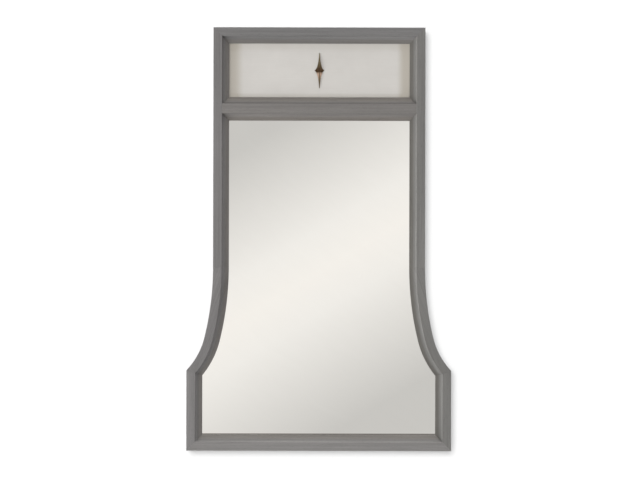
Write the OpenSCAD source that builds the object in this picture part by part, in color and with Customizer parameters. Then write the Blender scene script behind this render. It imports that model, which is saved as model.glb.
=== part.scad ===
// Wall mirror with a straight upper part, hollow flared sides and a wider base block.
// Millimetres. +Z is up, the front faces -Y and the wall is the plane y = 0.
// The origin lies on the wall, midway between the two hooks that carry the mirror.

/* [Frame] */
// Height of the whole frame
height = 1219; // [1150:1:1290]
// Width across the top, outside to outside
top_w = 610; // [570:1:650]
// Width across the base block, outside to outside
base_w = 762; // [730:1:800]
// Depth of the frame from front to back
depth = 38; // [35:0.5:44]

/* [Flared sides] */
// Height above the foot at which the sides start to flare
flare_start_h = 527.5; // [500:0.5:560]
// Height above the foot of the outer shoulder corner
shoulder_h = 231.4; // [210:0.1:255]
// Angle that the long upper curve turns through
ease_angle = 13.85; // [12:0.05:16]
// Lean of the sides from upright where they reach the shoulder
flare_angle = 43.5; // [40:0.1:47]

/* [Moulding] */
// Width of the flat rim round the outside
rim_w = 25; // [22:0.5:30]
// Width of the flat front of the cross rail
cross_rim_w = 29; // [24:0.5:36]
// Depth of the small step at the edge of the rim
step_d = 5; // [3:0.5:6]
// Width of the hollow beside the rim
cove_w = 17; // [14:0.5:20]
// Depth of the hollow below the step
cove_d = 10; // [7:0.5:11]
// Width of the flat lip beside the glass or the panel
lip_w = 2; // [1:0.5:4]
// Width of the bevel that eases the outer front edge
arris_w = 0.8; // [0.4:0.1:2]

/* [Openings] */
// Height of the opening over the ivory panel
panel_opening_h = 156; // [130:1:180]
// Depth of the face of the glass behind the front
mirror_set_d = 18; // [17.5:0.5:20]
// Depth of the face of the ivory panel behind the front
panel_set_d = 18; // [17.5:0.5:24]
// Width of glass and panel hidden behind the lip
lap_w = 10; // [8:0.5:12]
// Width of the ledge that the back board is screwed to
board_ledge_w = 12; // [10:0.5:14]

/* [Glass, panel and boards] */
// Thickness of the mirror glass
glass_t = 5; // [3:0.5:6]
// Thickness of the back board
board_t = 5; // [3:0.5:5]
// Room left round the edge of glass, panel and backer
pane_play = 1.5; // [0.5:0.5:3]
// Room left round the edge of the back board
board_play = 1; // [0.5:0.5:2]

/* [Star ornament] */
// Height of the star from point to point
star_h = 101; // [80:1:125]
// Width of the star from point to point
star_w = 27; // [20:1:40]
// Half width of the blunt end of each point
star_tip = 0.9; // [0.3:0.1:1]
// Hollowness of the sides between the points
star_hollow = 3.3; // [2.4:0.1:4]
// Thickness of the star at its edge
star_edge_t = 1.5; // [1:0.1:3]
// Rise of the ridges from the edge to the middle
star_rise = 7.5; // [5:0.5:10]
// Diameter of the screw that holds the star
star_screw_d = 4; // [3:0.5:4]
// Depth that the screw goes into the star
star_screw_bite = 5; // [3:0.5:5.5]
// Diameter of the sunk head of that screw
star_screw_head_d = 8; // [7:0.5:9]

/* [Hangers] */
// Distance from the top of the frame down to the hooks
hook_drop = 330; // [300:1:400]
// Room between the wall and the back of the frame
wall_gap = 6; // [6:0.5:9]
// Diameter of the wire of the rings
ring_wire_d = 3; // [2.4:0.1:3]
// Width of a ring between the middles of its sides
ring_w = 20; // [18:0.5:24]
// Reach of a ring from its hinge to the middle of its bow
ring_reach = 19; // [17:0.5:24]
// Radius of the corners beside the hinge, at the middle of the wire
ring_corner_r = 3; // [2:0.25:3.5]
// Room between the bow of a raised ring and the frame
ring_rest_gap = 0.3; // [0.2:0.1:0.6]
// Width of a strap
strap_w = 12; // [10:0.5:12]
// Length of a strap below the hinge
strap_l = 42; // [38:1:50]
// Thickness of the strap's metal
strap_t = 1; // [0.8:0.1:1.2]
// Room round the wire inside the strap's eye
eye_play = 0.1; // [0.05:0.05:0.1]
// Distance from the hinge down to the first screw
strap_screw_drop = 11; // [10:0.5:12]
// Distance between the two screws of a strap
strap_screw_pitch = 21; // [17:0.5:22]

/* [Screws and dowels] */
// Diameter of the shank of the round-headed screws
screw_d = 3.5; // [3:0.1:4]
// Diameter of their heads
screw_head_d = 7; // [6:0.5:8]
// Height of their heads
screw_head_h = 2.2; // [1.8:0.1:2.6]
// Rise of the domed top of their heads
screw_dome = 1; // [0.6:0.1:1.4]
// Length of the cross cut into the heads
recess_l = 4.2; // [3:0.1:4.6]
// Width of the cross
recess_w = 1; // [0.6:0.1:1.4]
// Depth of the cross
recess_d = 1.4; // [0.8:0.1:1.6]
// Length under the head
screw_l = 16; // [13:0.5:18]
// Room round a shank in its hole
screw_play = 0.05; // [0.05:0.05:0.2]
// Distance from a corner of the frame to the nearest screw
screw_inset = 70; // [60:1:100]
// Diameter of the dowels
dowel_d = 8; // [6:0.5:9]
// Length of the dowels in the mitres
mitre_dowel_l = 24; // [20:0.5:26]
// Length of the dowels in the butt joints
butt_dowel_l = 40; // [34:1:50]
// Depth that a cross rail dowel goes into the stile
cross_dowel_bite = 16; // [12:0.5:18]
// Distance of the mitre dowels in from the outer edge
mitre_dowel_inset = 16; // [15:0.5:18]
// Distance of the butt dowels in from the outer edge
butt_dowel_inset = 14; // [10:0.5:17]
// Depth of the first dowel of a pair behind the front
dowel_set_d = 14; // [13:0.5:15]
// Distance between the dowels of a pair
dowel_pitch = 12; // [10:0.5:13]
// Room left for glue at each end of a dowel
glue_gap = 1; // [0.5:0.5:2]
// Room round a dowel in its hole
dowel_play = 0.1; // [0.05:0.05:0.2]

/* [Wall bumpers] */
// Diameter of a bumper where it is stuck to the frame
bumper_d = 16; // [12:0.5:18]
// Diameter of its face on the wall
bumper_face_d = 13; // [10:0.5:16]
// Distance of the bumpers in from the sides of the base
bumper_inset = 34; // [25:1:60]

/* [Hidden] */

// Smoothness of small round parts and of the long curves
$fn = 64;
long_fn = 720;
// Length and angle by which a cut runs past what it cuts
over = 1;
over_turn = 1;

grey_wood = "#7d7c7b";
raw_wood = "#b39a74";
board_brown = "#8a6f52";
ivory = "#d8d4cb";
brass = "#7a6a48";
steel = "#b9bbbd";
silver = "#e2e6e6";
rubber = "#2b2b2b";

// Places up and down, from the hooks at z = 0
top_z = hook_drop;
foot_z = hook_drop - height;
flare_z = foot_z + flare_start_h;
shoulder_z = foot_z + shoulder_h;

// Places in depth, counted from the wall
back_w = wall_gap;
front_w = wall_gap + depth;
board_w = back_w + board_t;

// Half widths of the outside
top_half = top_w / 2;
base_half = base_w / 2;

// Moulding: face_w is the whole width of a member, cove_r the radius of its hollow
face_w = rim_w + cove_w + lip_w;
cove_r = (cove_w * cove_w + cove_d * cove_d) / (2 * cove_d);
pane_edge = face_w - lap_w;
board_edge = pane_edge - board_ledge_w;
ledge_mid = (pane_edge + board_edge) / 2;

// Cross rail: its middle line, its whole height and the height of its back
cross_face_h = cross_rim_w + 2 * (cove_w + lip_w);
cross_back_h = cross_face_h - 2 * lap_w;
cross_z = top_z - face_w - panel_opening_h - cross_face_h / 2;

// The two curves of a flared side touch each other smoothly, start upright at flare_z and
// reach the shoulder corner: their radii follow from the two angles.
side_run = base_half - top_half;
side_drop = flare_start_h - shoulder_h;
bend = cos(ease_angle) - cos(flare_angle);
fall = sin(flare_angle) - sin(ease_angle);
share = (1 - cos(ease_angle)) * fall - sin(ease_angle) * bend;
upper_r = (side_run * fall - side_drop * bend) / share;
lower_r = ((1 - cos(ease_angle)) * side_drop - sin(ease_angle) * side_run) / share;
upper_c = [top_half + upper_r, flare_z];
lower_c = upper_c - (upper_r - lower_r) * [cos(ease_angle), sin(ease_angle)];
curve_joint = upper_c - upper_r * [cos(ease_angle), sin(ease_angle)];

// Inner corner of the shoulder and slope of its mitre
function side_z(inset) = lower_c.y - sqrt(pow(lower_r + inset, 2) - pow(lower_c.x - base_half + inset, 2));
inner_shoulder = [base_half - face_w, side_z(face_w)];
shoulder_tilt = atan2(shoulder_z - inner_shoulder.y, face_w);

// Hanger: middle of the stile's back, hinge height and distance of the hinge from the wall
eye_r = ring_wire_d / 2 + eye_play;
eye_out_r = eye_r + strap_t;
hanger_x = top_half - board_edge / 2;
hinge_w = back_w - eye_out_r;
bow_w = back_w - ring_rest_gap - ring_wire_d / 2;
ring_lean = asin((bow_w - hinge_w) / ring_reach);
hinge_z = -(ring_reach * cos(ring_lean) - ring_wire_d / 2);

// Places of the back board's screws on the right half, as [x, z]
function spread(low, high, n) = [for (i = [0 : n - 1]) low + (high - low) * i / (n - 1)];
function on_curve(centre, r, a) = centre - (r + ledge_mid) * [cos(a), sin(a)];
top_screws = [[top_half - screw_inset, top_z - ledge_mid]];
middle_screw = [[0, top_z - ledge_mid]];
stile_screw_z = concat(spread(flare_z + screw_inset, cross_z - screw_inset, 3), [top_z - screw_inset]);
stile_screws = [for (z = stile_screw_z) [top_half - ledge_mid, z]];
cross_screws = [[top_half / 2, cross_z]];
sweep_screws = [
    on_curve(upper_c, upper_r, ease_angle / 2),
    on_curve(lower_c, lower_r, (ease_angle + flare_angle) / 2)
];
base_screws = [[base_half - ledge_mid, foot_z + shoulder_h / 2]];
bottom_screws = [for (x = spread(base_half / 3, base_half - screw_inset, 2)) [x, foot_z + ledge_mid]];
side_screws = concat(top_screws, stile_screws, cross_screws, sweep_screws, base_screws, bottom_screws);
strap_screws = [for (i = [0, 1]) [hanger_x, hinge_z - strap_screw_drop - i * strap_screw_pitch]];

// Star: its middle height in the panel's opening, and the hollow curve of one quarter
star_z = top_z - face_w - panel_opening_h / 2;
star_step = 9;
star_quarter = [for (a = [0 : star_step : 90]) [
    star_tip + (star_w / 2 - star_tip) * pow(cos(a), star_hollow),
    star_tip + (star_h / 2 - star_tip) * pow(sin(a), star_hollow)
]];

// Draws something and its mirror image on the left
module both() {
    children();
    mirror([1, 0, 0]) children();
}

// Turns an outline drawn from the front into a slab between two distances from the wall
module slab(near, far) {
    translate([0, -near, 0]) rotate([90, 0, 0]) linear_extrude(far - near) children();
}

// What is cut away beside an opening whose edge lies at u = edge, u running in and w out
module opening_cuts(edge, set_d) {
    hollow_w = front_w - step_d - cove_d;
    intersection() {
        translate([edge - lip_w, hollow_w + cove_r]) circle(cove_r);
        translate([edge - lip_w - cove_w, hollow_w - over]) square([cove_w, front_w - hollow_w + 2 * over]);
    }
    translate([edge - lip_w, hollow_w]) square([lip_w + over, front_w - hollow_w + over]);
    translate([edge - lap_w, back_w - over]) square([lap_w + over, depth - set_d + over]);
}

// Section of the outer members: flat rim, step, hollow, lip, and the rabbets behind
module section(set_d) {
    difference() {
        translate([0, back_w]) square([face_w, depth]);
        opening_cuts(face_w, set_d);
        translate([board_edge, back_w - over]) square([face_w, board_t + over]);
        bevel = arris_w + over;
        translate([0, front_w]) polygon([[-over, over], [-over, -bevel], [bevel, over]]);
    }
}

// Section of the cross rail, with the mirror below and the panel above
module cross_section() {
    difference() {
        translate([-cross_face_h / 2, board_w]) square([cross_face_h, front_w - board_w]);
        opening_cuts(cross_face_h / 2, panel_set_d);
        mirror([1, 0]) opening_cuts(cross_face_h / 2, mirror_set_d);
    }
}

// Upright length of the section on the right
module upright(side, low, high, set_d) {
    translate([side, 0, low]) rotate([0, 0, 180]) linear_extrude(high - low) section(set_d);
}

// Level length of a section that has its outer edge at the bottom
module level(half, z) {
    translate([-half, 0, z]) rotate([0, 90, 0]) rotate([0, 0, 180]) linear_extrude(2 * half) children();
}

// Curved length of the section, turned away from the origin about a centre outside the frame
module curved(r, turn) {
    translate([r, 0, 0]) rotate([0, 0, 180])
        rotate_extrude(angle = turn, $fn = long_fn) translate([r, 0]) section(mirror_set_d);
}

// Everything on the left of a line seen from the front, through [x, z] and rising at an angle
module beyond(point, angle) {
    reach = height + base_w;
    translate([point.x, over, point.y]) rotate([0, -angle, 0]) translate([-reach, -front_w - 2 * over, 0])
        cube([2 * reach, front_w + 3 * over, reach]);
}

// Outline of the cross rail, with ends that fit the mitred hollows of the stiles
module cross_outline() {
    polygon([for (side = [1, -1], p = [
        [top_half - face_w, cross_face_h / 2], [top_half - rim_w, cross_rim_w / 2],
        [top_half - rim_w, -cross_rim_w / 2], [top_half - face_w, -cross_face_h / 2]
    ]) [side * p.x, cross_z + side * p.y]]);
}

// Outline inside the frame, a given distance in from its outer edge and up to a given height
module inside(inset, high) {
    difference() {
        translate([inset - base_half, foot_z + inset])
            square([base_w - 2 * inset, high - foot_z - inset]);
        outside_side(inset);
        mirror([1, 0]) outside_side(inset);
    }
}

// What lies outside the flared side on the right
module outside_side(inset) {
    translate([top_half - inset, flare_z]) square([side_run + inset + over, height]);
    translate(curve_joint) rotate(ease_angle) {
        sector(upper_r, inset, -ease_angle - over_turn);
        sector(lower_r, inset, flare_angle - ease_angle + over_turn);
    }
}

// Sector of the disc inside a curve of a side, turned away from the joint of the two curves
module sector(r, inset, turn) {
    reach = (r + inset) / cos(turn / 2) + over;
    translate([r, 0]) intersection() {
        circle(r + inset, $fn = long_fn);
        polygon([[0, 0], [-reach, 0], -reach * [cos(turn), sin(turn)]]);
    }
}

// Pair of dowels, one behind the other, at [x, z] with their axis at an angle from upright
module dowel_pair(point, angle, l, play) {
    for (d = [dowel_set_d, dowel_set_d + dowel_pitch])
        translate([point.x, d - front_w, point.y]) rotate([0, -angle, 0])
            cylinder(d = dowel_d + 2 * play, h = l + (play > 0 ? 2 * glue_gap : 0), center = true);
}

module top_corner_dowels(play = 0) {
    dowel_pair([top_half - mitre_dowel_inset, top_z - mitre_dowel_inset], 45, mitre_dowel_l, play);
}

module bottom_corner_dowels(play = 0) {
    dowel_pair([base_half - mitre_dowel_inset, foot_z + mitre_dowel_inset], 135, mitre_dowel_l, play);
}

module right_shoulder_dowels(play = 0) {
    outer = [base_half, shoulder_z];
    point = outer + (inner_shoulder - outer) * mitre_dowel_inset / face_w;
    dowel_pair(point, shoulder_tilt, mitre_dowel_l, play);
}

module right_sweep_dowels(play = 0) {
    dowel_pair([top_half - butt_dowel_inset, flare_z], 0, butt_dowel_l, play);
}

module right_cross_dowels(play = 0) {
    dowel_pair([top_half - rim_w + cross_dowel_bite - butt_dowel_l / 2, cross_z], 90, butt_dowel_l, play);
}

// Shanks of screws driven in from the back, for drilling their holes
module drilled(points, seat, l) {
    for (p = points)
        translate([p.x, over - seat, p.y]) rotate([90, 0, 0])
            cylinder(d = screw_d + 2 * screw_play, h = l + over);
}

// Cross cut into a screw head whose top lies at the origin
module cross_recess() {
    for (turn = [0, 90])
        rotate([0, 0, turn]) cube([recess_w, recess_l, 2 * recess_d], center = true);
}

// Round-headed screw with a cross recess, its shank pointing away from the wall
module screw(point, seat) {
    dome_r = (pow(screw_head_d / 2, 2) + pow(screw_dome, 2)) / (2 * screw_dome);
    taper = screw_d;
    translate([point.x, -seat, point.y]) rotate([90, 0, 0]) difference() {
        rotate_extrude() {
            polygon([[0, -over / 2], [screw_d / 2, -over / 2], [screw_d / 2, screw_l - taper], [0, screw_l]]);
            intersection() {
                translate([0, dome_r - screw_head_h]) circle(dome_r);
                translate([0, -screw_head_h - over]) square([screw_head_d / 2, screw_head_h + over]);
            }
        }
        translate([0, 0, -screw_head_h]) cross_recess();
    }
}

module right_stile_body() {
    difference() {
        union() {
            upright(top_half, flare_z, cross_z, mirror_set_d);
            upright(top_half, cross_z, top_z, panel_set_d);
        }
        beyond([top_half, top_z], 45);
        slab(board_w, front_w + over) cross_outline();
        top_corner_dowels(dowel_play);
        right_sweep_dowels(dowel_play);
        right_cross_dowels(dowel_play);
        drilled(stile_screws, back_w, screw_l + glue_gap);
        strap_holes();
    }
}

module right_sweep_body() {
    difference() {
        translate([curve_joint.x, 0, curve_joint.y]) rotate([90, 0, 0]) rotate([0, 0, ease_angle]) {
            curved(upper_r, -ease_angle);
            curved(lower_r, flare_angle - ease_angle + over_turn);
        }
        beyond([base_half, shoulder_z], 180 + shoulder_tilt);
        right_sweep_dowels(dowel_play);
        right_shoulder_dowels(dowel_play);
        drilled(sweep_screws, back_w, screw_l + glue_gap);
    }
}

module right_base_stile_body() {
    difference() {
        upright(base_half, foot_z, shoulder_z, mirror_set_d);
        beyond([base_half, shoulder_z], shoulder_tilt);
        beyond([base_half, foot_z], 135);
        right_shoulder_dowels(dowel_play);
        bottom_corner_dowels(dowel_play);
        drilled(base_screws, back_w, screw_l + glue_gap);
    }
}

module top_rail() {
    color(grey_wood) difference() {
        rotate([0, 180, 0]) level(top_half, -top_z) section(panel_set_d);
        both() {
            beyond([top_half, top_z], 225);
            top_corner_dowels(dowel_play);
            drilled(top_screws, back_w, screw_l + glue_gap);
        }
        drilled(middle_screw, back_w, screw_l + glue_gap);
    }
}

module cross_rail() {
    color(grey_wood) difference() {
        intersection() {
            level(top_half, cross_z) cross_section();
            slab(board_w - over, front_w + over) cross_outline();
        }
        both() {
            right_cross_dowels(dowel_play);
            drilled(cross_screws, back_w, screw_l + glue_gap);
        }
    }
}

module bottom_rail() {
    color(grey_wood) difference() {
        level(base_half, foot_z) section(mirror_set_d);
        both() {
            beyond([base_half, foot_z], -45);
            bottom_corner_dowels(dowel_play);
            drilled(bottom_screws, back_w, screw_l + glue_gap);
        }
    }
}

module right_stile() {
    color(grey_wood) right_stile_body();
}

module left_stile() {
    color(grey_wood) mirror([1, 0, 0]) right_stile_body();
}

module right_sweep() {
    color(grey_wood) right_sweep_body();
}

module left_sweep() {
    color(grey_wood) mirror([1, 0, 0]) right_sweep_body();
}

module right_base_stile() {
    color(grey_wood) right_base_stile_body();
}

module left_base_stile() {
    color(grey_wood) mirror([1, 0, 0]) right_base_stile_body();
}

module corner_dowels() {
    color(raw_wood) both() {
        top_corner_dowels();
        bottom_corner_dowels();
    }
}

module shoulder_dowels() {
    color(raw_wood) both() right_shoulder_dowels();
}

module sweep_dowels() {
    color(raw_wood) both() right_sweep_dowels();
}

module cross_rail_dowels() {
    color(raw_wood) both() right_cross_dowels();
}

module mirror_outline() {
    inside(pane_edge + pane_play, cross_z - cross_back_h / 2 - pane_play);
}

module mirror_glass() {
    face = front_w - mirror_set_d;
    color(silver) slab(face - glass_t, face) mirror_outline();
}

module mirror_backer() {
    color(board_brown) slab(board_w, front_w - mirror_set_d - glass_t) mirror_outline();
}

module ivory_panel() {
    half = top_half - pane_edge - pane_play;
    low = cross_z + cross_back_h / 2 + pane_play;
    high = top_z - pane_edge - pane_play;
    color(ivory) difference() {
        slab(board_w, front_w - panel_set_d) translate([-half, low]) square([2 * half, high - low]);
        translate([0, over - board_w, star_z]) rotate([90, 0, 0])
            cylinder(d = star_screw_d + 2 * screw_play, h = depth);
        star_screw_sink(screw_play);
    }
}

// Outline of the star, with a hollow curve between each two blunt points
module star_outline() {
    last = len(star_quarter) - 1;
    upper = concat(star_quarter, [for (i = [last : -1 : 0]) [-star_quarter[i].x, star_quarter[i].y]]);
    polygon(concat(upper, [for (p = upper) -p]));
}

module star_ornament() {
    seat = front_w - panel_set_d;
    color(brass) translate([0, -seat, star_z]) rotate([90, 0, 0]) difference() {
        union() {
            linear_extrude(star_edge_t) star_outline();
            translate([0, 0, star_edge_t]) linear_extrude(star_rise, scale = 0) star_outline();
        }
        translate([0, 0, -over]) cylinder(d = star_screw_d + 2 * screw_play, h = star_screw_bite + 2 * over);
    }
}

// Cone of the sunk screw head, flush with the back of the panel
module star_screw_sink(play) {
    translate([0, -board_w, star_z]) rotate([90, 0, 0])
        cylinder(
            d1 = star_screw_head_d + 2 * play,
            d2 = star_screw_d + 2 * play,
            h = (star_screw_head_d - star_screw_d) / 2
        );
}

module ornament_screw() {
    color(steel) difference() {
        union() {
            star_screw_sink(0);
            translate([0, -board_w, star_z]) rotate([90, 0, 0])
                cylinder(d = star_screw_d, h = front_w - panel_set_d - board_w + star_screw_bite);
        }
        translate([0, -board_w, star_z]) rotate([90, 0, 0]) cross_recess();
    }
}

module back_board() {
    color(board_brown) difference() {
        slab(back_w, board_w) inside(board_edge + board_play, top_z - board_edge - board_play);
        both() drilled(side_screws, back_w, board_t + over);
        drilled(middle_screw, back_w, board_t + over);
    }
}

module back_board_screws() {
    color(steel) {
        both() for (p = side_screws) screw(p, back_w);
        screw(middle_screw[0], back_w);
    }
}

module strap_holes() {
    drilled(strap_screws, back_w, screw_l + glue_gap);
}

module right_strap() {
    end_z = strap_w / 2 - strap_l;
    difference() {
        translate([hanger_x, -back_w, hinge_z]) {
            translate([0, eye_out_r, 0]) rotate([0, 90, 0])
                cylinder(r = eye_out_r, h = strap_w, center = true);
            translate([-strap_w / 2, 0, end_z]) cube([strap_w, strap_t, -end_z]);
            translate([0, strap_t, end_z]) rotate([90, 0, 0]) cylinder(d = strap_w, h = strap_t);
        }
        translate([hanger_x, -hinge_w, hinge_z]) rotate([0, 90, 0])
            cylinder(r = eye_r, h = strap_w + over, center = true);
        drilled(strap_screws, back_w - strap_t, strap_t + over);
    }
}

module right_hanger_strap() {
    color(steel) right_strap();
}

module left_hanger_strap() {
    color(steel) mirror([1, 0, 0]) right_strap();
}

// Bent length of the ring's wire, about the middle of its bend
module wire_bend(centre, r, from, turn) {
    translate([centre.x, centre.y, 0]) rotate([0, 0, from])
        rotate_extrude(angle = turn) translate([r, 0]) circle(d = ring_wire_d);
}

// Ring drawn flat with its hinge along X, then stood up and leaned back against the frame
module right_ring() {
    half = ring_w / 2;
    bow_y = ring_reach - half;
    translate([hanger_x, -hinge_w, hinge_z]) rotate([90 + ring_lean, 0, 0]) {
        rotate([0, 90, 0]) cylinder(d = ring_wire_d, h = ring_w - 2 * ring_corner_r, center = true);
        wire_bend([half - ring_corner_r, ring_corner_r], ring_corner_r, -90, 90);
        wire_bend([ring_corner_r - half, ring_corner_r], ring_corner_r, 180, 90);
        for (side = [-half, half])
            translate([side, ring_corner_r, 0]) rotate([-90, 0, 0])
                cylinder(d = ring_wire_d, h = bow_y - ring_corner_r);
        wire_bend([0, bow_y], half, 0, 180);
    }
}

module right_hanger_ring() {
    color(steel) right_ring();
}

module left_hanger_ring() {
    color(steel) mirror([1, 0, 0]) right_ring();
}

module hanger_screws() {
    color(steel) both() for (p = strap_screws) screw(p, back_w - strap_t);
}

module wall_bumpers() {
    color(rubber) both()
        translate([base_half - bumper_inset, 0, foot_z + board_edge / 2]) rotate([90, 0, 0])
            cylinder(d1 = bumper_face_d, d2 = bumper_d, h = wall_gap);
}

top_rail();
cross_rail();
bottom_rail();
left_stile();
right_stile();
left_sweep();
right_sweep();
left_base_stile();
right_base_stile();
corner_dowels();
shoulder_dowels();
sweep_dowels();
cross_rail_dowels();
mirror_glass();
mirror_backer();
ivory_panel();
star_ornament();
ornament_screw();
back_board();
back_board_screws();
left_hanger_strap();
right_hanger_strap();
left_hanger_ring();
right_hanger_ring();
hanger_screws();
wall_bumpers();
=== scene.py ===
"""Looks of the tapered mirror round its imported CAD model.

Metres; +Z is up, the front faces -Y and the wall is y = 0. Colours are sRGB numbers from 0 to 255.
"""

import math

import bpy
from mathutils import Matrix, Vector


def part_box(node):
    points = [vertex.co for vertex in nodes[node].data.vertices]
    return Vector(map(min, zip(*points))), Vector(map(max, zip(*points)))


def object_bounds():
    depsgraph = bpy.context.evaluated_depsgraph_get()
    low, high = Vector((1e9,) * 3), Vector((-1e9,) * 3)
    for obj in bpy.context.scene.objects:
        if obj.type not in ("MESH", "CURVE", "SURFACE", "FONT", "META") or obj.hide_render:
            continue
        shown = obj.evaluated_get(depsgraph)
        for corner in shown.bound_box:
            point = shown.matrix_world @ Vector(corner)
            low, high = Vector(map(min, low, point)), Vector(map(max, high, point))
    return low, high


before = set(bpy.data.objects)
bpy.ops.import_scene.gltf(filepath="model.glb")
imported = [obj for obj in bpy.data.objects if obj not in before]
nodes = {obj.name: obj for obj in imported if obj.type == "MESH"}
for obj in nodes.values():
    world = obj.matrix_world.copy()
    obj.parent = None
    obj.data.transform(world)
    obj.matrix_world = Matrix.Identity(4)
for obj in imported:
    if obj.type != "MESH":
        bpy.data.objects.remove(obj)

cad_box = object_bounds()
scene = bpy.context.scene

# The photograph was taken square on; one of its pixels is PIXEL_M wide at the front of the frame
PHOTO_WIDTH_PX = 640
PIXEL_M = 0.0028775
SENSOR_M = 0.036
CAMERA_DISTANCE = 3.3
CAMERA_X = 0.0028
CAMERA_Z = -0.2820
CAMERA_ROLL_DEG = -0.13


def linear(*rgb):
    """Linear colour, with alpha, of an sRGB colour."""
    out = [c / 255 / 12.92 if c <= 10 else ((c / 255 + 0.055) / 1.055) ** 2.4 for c in rgb]
    return (*out, 1.0)


def shaded(tone, share):
    """Linear colour of a tone that is made lighter or darker."""
    return linear(*[c * share for c in tone])


class Tree:
    """The nodes of a material or of the world, added and joined in short lines."""

    def __init__(self, owner):
        owner.use_nodes = True
        self.nodes = owner.node_tree.nodes
        self.links = owner.node_tree.links

    def add(self, kind, inputs=None, **settings):
        node = self.nodes.new("ShaderNode" + kind)
        for key, value in settings.items():
            setattr(node, key, value)
        for key, value in (inputs or {}).items():
            self.put(node, key, value)
        return node

    def put(self, node, key, value):
        """Joins another node's output to an input, or writes a plain value into it."""
        if isinstance(value, bpy.types.NodeSocket):
            self.links.new(value, node.inputs[key])
        else:
            node.inputs[key].default_value = value

    def math(self, operation, value, *others):
        """One operation over its values from left to right. ABSOLUTE takes a single value."""
        if not others:
            return self.add("Math", {0: value}, operation=operation).outputs[0]
        for other in others:
            value = self.add("Math", {0: value, 1: other}, operation=operation).outputs[0]
        return value

    def dot(self, a, b):
        return self.add("VectorMath", {0: a, 1: b}, operation="DOT_PRODUCT").outputs["Value"]

    def axes(self, vector):
        return self.add("SeparateXYZ", {0: vector}).outputs

    def ramp(self, value, low, high, to_low=0.0, to_high=1.0, smooth=False):
        """Maps low..high to to_low..to_high and holds the ends."""
        inputs = {
            "Value": value, "From Min": low, "From Max": high, "To Min": to_low, "To Max": to_high
        }
        shape = "SMOOTHSTEP" if smooth else "LINEAR"
        return self.add("MapRange", inputs, interpolation_type=shape).outputs["Result"]


class Material(Tree):
    """A new material with Blender's Principled shader. Its patterns lie in the CAD's own metres."""

    def __init__(self, name):
        self.made = bpy.data.materials.new(name)
        super().__init__(self.made)
        self.shader = self.nodes["Principled BSDF"]

    def finish(self, **inputs):
        for key, value in inputs.items():
            self.put(self.shader, key.replace("_", " "), value)
        return self.made

    def place(self):
        """X, Y and Z of the shaded point."""
        return self.axes(self.add("TexCoord").outputs["Object"])

    def noise(self, size, detail, roughness=0.5, distortion=0.0, lean=0, shift=(0, 0, 0)):
        """Noise with features of a size, and their Z leaning from upright by degrees towards +X."""
        mapping = {
            "Vector": self.add("TexCoord").outputs["Object"],
            "Location": shift, "Rotation": (0, math.radians(lean), 0), "Scale": size,
        }
        place = self.add("Mapping", mapping, vector_type="TEXTURE").outputs["Vector"]
        inputs = {
            "Vector": place, "Scale": 1.0,
            "Detail": detail, "Roughness": roughness, "Distortion": distortion,
        }
        return self.add("TexNoise", inputs).outputs["Fac"]

    def mix(self, factor, a, b, blend="MIX"):
        node = self.add("Mix", data_type="RGBA", blend_type=blend)
        for key, value in ((0, factor), (6, a), (7, b)):
            self.put(node, key, value)
        return node.outputs[2]

    def bump(self, height, distance, strength=1.0, under=None):
        """Normal of a surface with this relief, on top of the normal under it."""
        inputs = {"Height": height, "Distance": distance, "Strength": strength}
        if under is not None:
            inputs["Normal"] = under
        return self.add("Bump", inputs).outputs["Normal"]


# The parts of a member with painted light or shade on its stain, each as the two values over
# which it comes in: painted shade on the floor of the hollow by its Y and its normal's Y, painted
# highlight on the steep side by how far its normal leans inward, and painted highlight on the edge
# by how much further the eased normal leans than the plain one
PAINTED_SHADE_FLOOR_Y = (-0.0345, -0.0305)
PAINTED_SHADE_FLOOR_NORMAL_Y = (-0.75, -0.95)
PAINTED_HIGHLIGHT_SIDE_LEAN = (0.65, 0.95)
PAINTED_HIGHLIGHT_EDGE_LEAN = (0.2, 0.5)
EASED_RADIUS = 0.002
# Warm tint of the painted shade on the hollow's floor
PAINTED_SHADE_WARMTH = (1.02, 0.99, 0.94, 1)
# How far the noise of one member lies from that of the next
MEMBER_SHIFT = (0.137, 0.059, 0.311)


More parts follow.
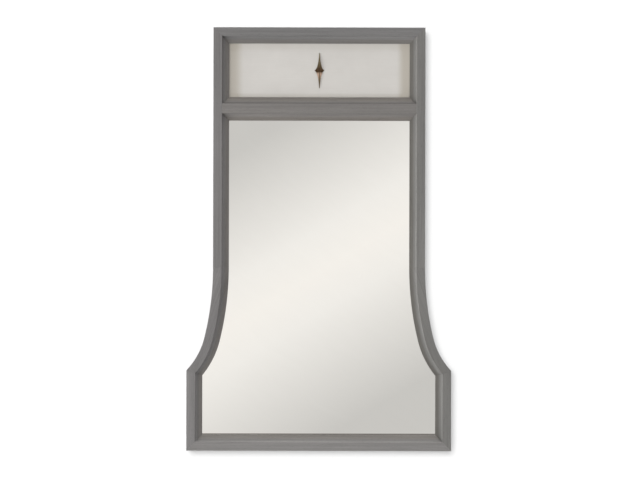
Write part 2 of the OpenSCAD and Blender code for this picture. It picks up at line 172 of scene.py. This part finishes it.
def stained_wood(name, tone, lean, floor_painted_light, inward, side_painted_light, seed):
    """Grey stained wood under a thin satin lacquer.

    It has a broad tone, growth bands, streaks and open pores along its grain, and painted light or
    shade on the floor of the hollow and on the steep side and edge that face inward.
    """
    t = Material(name)
    grain = {"lean": lean, "shift": [step * seed for step in MEMBER_SHIFT]}
    broad = t.noise((0.05, 0.05, 0.45), 1.0, **grain)
    bands = t.noise((0.007, 0.02, 0.55), 3.0, 0.55, 0.35, **grain)
    streaks = t.noise((0.0018, 0.0018, 0.085), 3.0, 0.6, **grain)
    pores = t.ramp(t.noise((0.00055, 0.00055, 0.012), 2.0, **grain), 0.60, 0.70, smooth=True)

    level = t.math("ADD", t.math("MULTIPLY", bands, 0.55), t.math("MULTIPLY", streaks, 0.45))
    colour = t.mix(t.ramp(level, 0.34, 0.66), shaded(tone, 0.92), shaded(tone, 1.07))

    normal = t.add("TexCoord").outputs["Normal"]
    eased = t.add("Bevel", {"Radius": EASED_RADIUS}, samples=8).outputs["Normal"]
    lean_inward = t.dot(eased, inward)
    further = t.math("SUBTRACT", lean_inward, t.dot(normal, inward))
    # Painted highlight on the steep side and eased edge facing inward; painted shade on the cross
    # rail
    painted_highlight = t.math("MAXIMUM", t.ramp(lean_inward, *PAINTED_HIGHLIGHT_SIDE_LEAN), t.ramp(further, *PAINTED_HIGHLIGHT_EDGE_LEAN))
    # Painted shade on the floor of the hollow; painted light on the bottom rail
    painted_floor_shade = t.math(
        "MULTIPLY", t.ramp(t.place()["Y"], *PAINTED_SHADE_FLOOR_Y), t.ramp(t.axes(normal)["Y"], *PAINTED_SHADE_FLOOR_NORMAL_Y)
    )
    shade = t.math(
        "MULTIPLY",
        t.ramp(broad, 0.3, 0.7, 0.92, 1.06),
        t.ramp(painted_floor_shade, 0, 1, 1, floor_painted_light),
        t.ramp(painted_highlight, 0, 1, 1, side_painted_light),
    )
    grey = t.add("CombineColor", {0: shade, 1: shade, 2: shade}).outputs[0]
    colour = t.mix(1.0, colour, grey, "MULTIPLY")
    colour = t.mix(t.math("MULTIPLY", pores, 0.45), colour, shaded(tone, 0.62))
    # Warm tint of the painted shade on the hollow's floor
    colour = t.mix(painted_floor_shade, colour, PAINTED_SHADE_WARMTH, "MULTIPLY")

    relief = t.math("SUBTRACT", t.math("MULTIPLY", streaks, 0.6), t.math("MULTIPLY", pores, 0.5))
    return t.finish(
        Base_Color=colour,
        Roughness=t.ramp(streaks, 0.3, 0.7, 0.46, 0.60),
        Normal=t.bump(relief, 0.00022, 0.6, eased),
    )


def raw_wood():
    """Pale bare beech of the dowels."""
    t = Material("raw_wood")
    streaks = t.noise((0.0012, 0.0012, 0.03), 3.0, 0.6)
    flecks = t.ramp(t.noise((0.0004, 0.0004, 0.003), 1.0), 0.62, 0.72)
    colour = t.mix(t.ramp(streaks, 0.3, 0.7), linear(164, 134, 98), linear(196, 168, 130))
    colour = t.mix(t.math("MULTIPLY", flecks, 0.4), colour, linear(122, 92, 62))
    return t.finish(
        Base_Color=colour,
        Roughness=t.ramp(streaks, 0.3, 0.7, 0.6, 0.75),
        Normal=t.bump(streaks, 0.0001),
    )


# Painted shade along the four edges of the ivory panel, where the frame's recess shades it: the
# axis across the edge, where the painted shade starts and where it is full, how strong it is there,
# and whether it comes in smoothly
PAINTED_EDGE_SHADE = [
    ("X", 0.222, 0.246, 1.0, True),
    ("X", -0.216, -0.246, 0.9, True),
    ("Z", 0.260, 0.274, 0.22, False),
    ("Z", 0.144, 0.138, 0.33, False),
]


def ivory_lacquer():
    """Ivory paint rubbed smooth: faint mottling, brush lines along the panel, painted edge shade.
    """
    t = Material("ivory_lacquer")
    cloud = t.noise((0.09, 0.09, 0.06), 3.0, 0.55)
    brush = t.noise((0.0011, 0.0011, 0.06), 3.0, 0.6, lean=90)
    peel = t.noise((0.0022, 0.0022, 0.0022), 1.0)
    colour = t.mix(t.ramp(cloud, 0.3, 0.7), linear(211, 208, 204), linear(217, 214, 210))
    colour = t.mix(t.ramp(brush, 0.35, 0.75, 0.0, 0.10), colour, linear(190, 184, 174))
    place = t.place()
    painted_edge_shades = [
        t.ramp(place[axis], start, full, 0.0, strength, smooth)
        for axis, start, full, strength, smooth in PAINTED_EDGE_SHADE
    ]
    # Painted shade along the panel's edges
    colour = t.mix(t.math("ADD", *painted_edge_shades), colour, linear(188, 182, 172))
    relief = t.math("ADD", t.math("MULTIPLY", brush, 0.7), t.math("MULTIPLY", peel, 0.5))
    return t.finish(
        Base_Color=colour,
        Roughness=t.ramp(cloud, 0.3, 0.7, 0.34, 0.44),
        Normal=t.bump(relief, 0.00008, 0.7),
    )


# Where the star's metal changes: the patina lightens over these distances above and below its
# middle, a pale painted reflection starts and ends over these below it, and its ridge stays brown
PATINA_LIGHTENS = (0.004, 0.016)
PAINTED_REFLECTION_FROM = (0.004, 0.009)
PAINTED_REFLECTION_TO = (0.034, 0.014)
RIDGE = (0.0004, 0.0018)
RAGGED = 0.006


def antique_brass():
    """Cast brass, brown patina darkest round the middle, a pale painted reflection by the lower
    ridge.
    """
    t = Material("antique_brass")
    low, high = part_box("star_ornament")
    place = t.place()
    mottle = t.noise((0.004, 0.004, 0.004), 4.0, 0.6)
    grit = t.noise((0.0007, 0.0007, 0.0007), 2.0)
    above = t.math("SUBTRACT", place["Z"], (low.z + high.z) / 2)
    ragged = t.math("MULTIPLY", t.math("SUBTRACT", 0.5, mottle), RAGGED)
    below = t.math("SUBTRACT", ragged, above)
    off_ridge = t.math("ABSOLUTE", t.math("SUBTRACT", place["X"], (low.x + high.x) / 2))
    # Painted reflection: pale metal on the lower facets beside the ridge
    painted_reflection = t.math(
        "MULTIPLY",
        t.ramp(below, *PAINTED_REFLECTION_FROM),
        t.ramp(below, *PAINTED_REFLECTION_TO),
        t.ramp(off_ridge, *RIDGE),
    )
    patina = t.ramp(t.math("ABSOLUTE", above), *PATINA_LIGHTENS)
    colour = t.mix(patina, linear(84, 66, 50), linear(116, 104, 80))
    colour = t.mix(t.ramp(mottle, 0.4, 0.7, 0.0, 0.35), colour, linear(70, 58, 44))
    colour = t.mix(painted_reflection, colour, linear(198, 172, 154))
    return t.finish(
        Base_Color=colour,
        Metallic=1.0,
        Roughness=t.ramp(mottle, 0.3, 0.7, 0.48, 0.62),
        Normal=t.bump(grit, 0.00012, 0.5),
    )


# Heights over which the painted reflection of the lip, a dark line along the mirror's lower edge,
# ends
PAINTED_LIP_REFLECTION_TOP = (-0.8423, -0.8413)


def silvered_glass():
    """Plain silvered sheet, very slightly warm, with the faintest wiping marks.

    A painted reflection of the lip darkens a narrow line along its lower edge, as a lip shows in
    the thickness of such a glass.
    """
    t = Material("silvered_glass")
    wipe = t.noise((0.12, 0.12, 0.03), 3.0, 0.6, 0.5, lean=35)
    colour = t.mix(t.ramp(wipe, 0.35, 0.7), linear(248, 248, 247), linear(249, 249, 248))
    above_painted_reflection = t.ramp(t.place()["Z"], *PAINTED_LIP_REFLECTION_TOP)
    return t.finish(
        # Painted reflection of the lip along the lower edge
        Base_Color=t.mix(above_painted_reflection, linear(154, 151, 147), colour),
        Metallic=1.0,
        Roughness=t.ramp(wipe, 0.4, 0.75, 0.0, 0.01),
    )


def hardboard(name, tone):
    """Pressed fibre board: short matted fibres and a slightly glazed face."""
    t = Material(name)
    cloud = t.noise((0.12, 0.12, 0.12), 2.0)
    fibres = t.noise((0.0006, 0.0006, 0.005), 3.0, 0.65, 0.8, lean=90)
    flecks = t.noise((0.0022, 0.0022, 0.0012), 2.0, 0.6, 1.0)
    colour = t.mix(t.ramp(fibres, 0.3, 0.7), shaded(tone, 0.86), shaded(tone, 1.1))
    colour = t.mix(t.ramp(flecks, 0.62, 0.74, 0.0, 0.55), colour, shaded(tone, 0.58))
    colour = t.mix(t.ramp(cloud, 0.35, 0.7, 0.0, 0.25), colour, shaded(tone, 0.8))
    return t.finish(
        Base_Color=colour,
        Roughness=t.ramp(fibres, 0.3, 0.7, 0.55, 0.78),
        Normal=t.bump(fibres, 0.00015, 0.6),
    )


def zinc_steel():
    """Zinc plated steel with a faint bluish and straw play of colour."""
    t = Material("zinc_steel")
    tint = t.noise((0.006, 0.006, 0.006), 2.0)
    scratch = t.noise((0.0002, 0.0002, 0.004), 2.0, lean=25)
    return t.finish(
        Base_Color=t.mix(t.ramp(tint, 0.35, 0.65), linear(196, 200, 206), linear(208, 204, 192)),
        Metallic=1.0,
        Roughness=t.ramp(scratch, 0.3, 0.7, 0.26, 0.42),
        Normal=t.bump(scratch, 0.00003, 0.5),
    )


def soft_rubber():
    """Dark rubber with a dusty, finely pitted skin."""
    t = Material("soft_rubber")
    dust = t.noise((0.003, 0.003, 0.003), 3.0, 0.6)
    pits = t.noise((0.0004, 0.0004, 0.0004), 1.0)
    return t.finish(
        Base_Color=t.mix(t.ramp(dust, 0.4, 0.7), linear(38, 38, 39), linear(66, 65, 63)),
        Roughness=t.ramp(dust, 0.3, 0.7, 0.68, 0.85),
        Normal=t.bump(pits, 0.00008, 0.6),
    )


def dress(material, slot, *names):
    """Gives CAD pieces a material; the slot is not used."""
    for name in names:
        piece = nodes[name]
        piece.data.materials.clear()
        piece.data.materials.append(material)


# Each member of the frame is a board of its own: its tone, the lean of its grain from upright, the
# painted light or shade on the floor of the hollow, the way to its opening, and the painted
# highlight or shade on the steep side and eased edge that face this way
SWEEP_LEAN = 20
LEFT, RIGHT, UP, DOWN = (-1, 0, 0), (1, 0, 0), (0, 0, 1), (0, 0, -1)
MEMBERS = {
    "top_rail": ((119, 118, 118), 90, 0.95, DOWN, 1.0),
    "cross_rail": ((125, 122, 120), 90, 0.95, UP, 0.7),
    "bottom_rail": ((131, 129, 128), 90, 1.05, UP, 1.6),
    "left_stile": ((120, 118, 118), 0, 0.9, RIGHT, 1.0),
    "right_stile": ((120, 119, 117), 0, 0.75, LEFT, 1.6),
    "left_sweep": ((120, 118, 118), SWEEP_LEAN + 180, 0.9, RIGHT, 1.0),
    "right_sweep": ((117, 116, 114), -SWEEP_LEAN, 0.75, LEFT, 1.6),
    "left_base_stile": ((127, 125, 125), 0, 0.9, RIGHT, 1.0),
    "right_base_stile": ((118, 117, 115), 0, 0.72, LEFT, 1.4),
}
for seed, (name, look) in enumerate(MEMBERS.items(), 1):
    dress(stained_wood("grey_wood_" + name, *look, seed), "grey_wood", name)
dress(
    raw_wood(), "raw_wood", "corner_dowels", "shoulder_dowels", "sweep_dowels", "cross_rail_dowels"
)
dress(silvered_glass(), "mirror", "mirror_glass")
dress(hardboard("backer_board", (150, 122, 88)), "board", "mirror_backer")
dress(hardboard("back_board", (138, 111, 82)), "board", "back_board")
dress(ivory_lacquer(), "ivory_paint", "ivory_panel")
dress(antique_brass(), "brass", "star_ornament")
dress(
    zinc_steel(), "steel",
    "ornament_screw", "back_board_screws", "hanger_screws",
    "left_hanger_strap", "right_hanger_strap", "left_hanger_ring", "right_hanger_ring",
)
dress(soft_rubber(), "bumper_rubber", "wall_bumpers")


# Light levels: 1 is the light at which a surface shows the colour that it is written with.
# Wall and floor show their glow and the little of the wall's own light that their paint throws
# back, together about 1, so that the frame's shadow takes away only the second.
WALL_PAINT = 0.1
WALL_GLOW = 0.31
FLOOR_GLOW = 0.66
WALL_LIGHT = 0.69
# Lean of the wall's own light from square on, to the right and down, and half the angle it fills
SHADOW_LEAN_DEG = (13.2, 17.7)
SHADOW_SOFT_DEG = 17
# The one lamp on the object
KEY_PLACE = (-2.593, -1.55, -0.975)
KEY_POWER = 13.7
KEY_SIZE = 1.1
LAMP_TARGET = (0, 0, -0.28)


def plane(name, centre, half_width, half_height, turn_deg=0):
    """A flat sheet whose front faces -Y before it is turned about X."""
    w, h = half_width, half_height
    mesh = bpy.data.meshes.new(name)
    mesh.from_pydata([(-w, 0, -h), (w, 0, -h), (w, 0, h), (-w, 0, h)], [], [(0, 1, 2, 3)])
    sheet = bpy.data.objects.new(name, mesh)
    sheet.location = centre
    sheet.rotation_euler = (math.radians(turn_deg), 0, 0)
    scene.collection.objects.link(sheet)
    return sheet


def backdrop(name, glow):
    """White paint that only the camera sees, and only from the front: it never hides the back."""
    t = Material(name)
    t.finish(
        Base_Color=(WALL_PAINT, WALL_PAINT, WALL_PAINT, 1), Roughness=1.0, Specular_IOR_Level=0.0,
        Emission_Color=(1, 1, 1, 1), Emission_Strength=glow,
    )
    seen = t.add("LightPath").outputs["Is Camera Ray"]
    from_behind = t.add("NewGeometry").outputs["Backfacing"]
    shown = t.math("MULTIPLY", seen, t.math("SUBTRACT", 1.0, from_behind))
    clear = t.add("BsdfTransparent").outputs[0]
    cover = t.add("MixShader", {0: shown, 1: clear, 2: t.shader.outputs[0]})
    t.put(t.nodes["Material Output"], "Surface", cover.outputs[0])
    return t.made


def group(name, *members):
    found = bpy.data.collections.new(name)
    for member in members:
        found.objects.link(member)
    return found


def lamp(name, kind, place, receivers, **settings):
    """A lamp that lights only its receivers and doesn't show in the mirror."""
    data = bpy.data.lights.new(name, kind)
    for key, value in settings.items():
        setattr(data, key, value)
    light = bpy.data.objects.new(name, data)
    light.location = place
    aim = Vector(LAMP_TARGET) - Vector(place)
    light.rotation_euler = aim.to_track_quat("-Z", "Y").to_euler()
    light.light_linking.receiver_collection = receivers
    light.visible_glossy = False
    scene.collection.objects.link(light)


wall = plane("wall", centre=(0, 0.0005, -0.2), half_width=2.6, half_height=2.2)
wall.data.materials.append(backdrop("wall_paint", WALL_GLOW))
floor = plane("floor", centre=(0, -2.0, -1.6), half_width=2.6, half_height=2.0, turn_deg=-90)
floor.data.materials.append(backdrop("floor_paint", FLOOR_GLOW))

lamp(
    "key", "AREA", KEY_PLACE, group("lit_by_key", *nodes.values()),
    energy=KEY_POWER, shape="DISK", size=KEY_SIZE,
)
# The wall's own light comes from the upper left, which puts the shadow at the right and below
to_right, to_below = [math.tan(math.radians(lean)) for lean in SHADOW_LEAN_DEG]
lamp(
    "wall_light", "SUN", Vector(LAMP_TARGET) + Vector((-to_right, -1, to_below)),
    group("lit_by_wall_light", wall, floor),
    energy=WALL_LIGHT * math.pi / WALL_PAINT, angle=math.radians(2 * SHADOW_SOFT_DEG),
)


# The world's four soft lights on the object: degrees from straight ahead towards +X, degrees up,
# and level in the middle. Each falls off as this power of the cosine.
SOFT_LIGHTS = [(48, 0, 1.68), (-21, 38, 0.62), (-62, -38, 5.4), (0, 78, 2.64)]
SOFT_LIGHT_POWER = 8
SOFT_LIGHT_COLOUR = (1, 0.995, 0.985, 1)
# Level behind the wall's plane, and how far behind it, as a sine, this level is reached
BACK_LIGHT = 1.3
BACK_LIGHT_FULL = 0.4
# What the mirror and the metal see: a bright band that rises to the right, between two wider ones.
# Each stop has its place across the band, as the sine of the angle from straight ahead.
BAND_LEAN = math.radians(31)
DIM, SIDE, EDGE, BRIGHT = (205, 203, 199), (241, 239, 235), (246, 243, 238), (251, 247, 241)
BAND = [
    (-0.75, DIM), (-0.42, SIDE), (-0.19, DIM), (-0.104, DIM), (-0.008, EDGE), (0.025, BRIGHT),
    (0.053, EDGE), (0.148, DIM), (0.23, DIM), (0.48, SIDE), (0.8, DIM),
]
# How much brighter it is overhead, and the two sines of the height over which it brightens
OVERHEAD_LEVEL = 2.65
OVERHEAD = (0.2, 0.7)


def surroundings():
    """White to the camera, the band to rays from mirror and metal, the soft lights to the rest."""
    world = bpy.data.worlds.new("surroundings")
    scene.world = world
    t = Tree(world)
    t.nodes.clear()
    direction = t.add("TexCoord").outputs["Generated"]
    axes = t.axes(direction)

    across = t.dot(direction, (math.sin(BAND_LEAN), 0, -math.cos(BAND_LEAN)))
    band = t.add("ValToRGB", {"Fac": t.ramp(across, -1, 1)})
    stops = band.color_ramp.elements
    while len(stops) < len(BAND):
        stops.new(0.5)
    for stop, (place, colour) in zip(stops, BAND):
        stop.position = 0.5 + place / 2
        stop.color = linear(*colour)
    overhead = t.ramp(axes["Z"], *OVERHEAD, 1, OVERHEAD_LEVEL)
    mirrored = t.add("Background", {"Color": band.outputs["Color"], "Strength": overhead})

    level = t.ramp(axes["Y"], 0, BACK_LIGHT_FULL, 0, BACK_LIGHT)
    for azimuth_deg, elevation_deg, middle_level in SOFT_LIGHTS:
        a, e = math.radians(azimuth_deg), math.radians(elevation_deg)
        middle = (math.sin(a) * math.cos(e), -math.cos(a) * math.cos(e), math.sin(e))
        near = t.math("POWER", t.ramp(t.dot(direction, middle), 0, 1), SOFT_LIGHT_POWER)
        level = t.math("ADD", level, t.math("MULTIPLY", near, middle_level))
    soft = t.add("Background", {"Color": SOFT_LIGHT_COLOUR, "Strength": level})

    white = t.add("Background", {"Color": (1, 1, 1, 1)})
    path = t.add("LightPath").outputs
    before_diffuse = t.math("LESS_THAN", path["Diffuse Depth"], 0.5)
    is_mirrored = t.math("MULTIPLY", before_diffuse, path["Is Glossy Ray"])
    lighting = t.add("MixShader", {0: is_mirrored, 1: soft.outputs[0], 2: mirrored.outputs[0]})
    seen = t.add(
        "MixShader", {0: path["Is Camera Ray"], 1: lighting.outputs[0], 2: white.outputs[0]}
    )
    t.add("OutputWorld", {"Surface": seen.outputs[0]})


surroundings()

camera_data = bpy.data.cameras.new("camera")
camera_data.sensor_width = SENSOR_M * 1000
camera_data.lens = SENSOR_M * 1000 * CAMERA_DISTANCE / (PHOTO_WIDTH_PX * PIXEL_M)
camera = bpy.data.objects.new("camera", camera_data)
camera.location = (CAMERA_X, cad_box[0].y - CAMERA_DISTANCE, CAMERA_Z)
camera.rotation_euler = (math.radians(90), math.radians(CAMERA_ROLL_DEG), 0)
scene.collection.objects.link(camera)
scene.camera = camera

scene.view_settings.view_transform = "Standard"
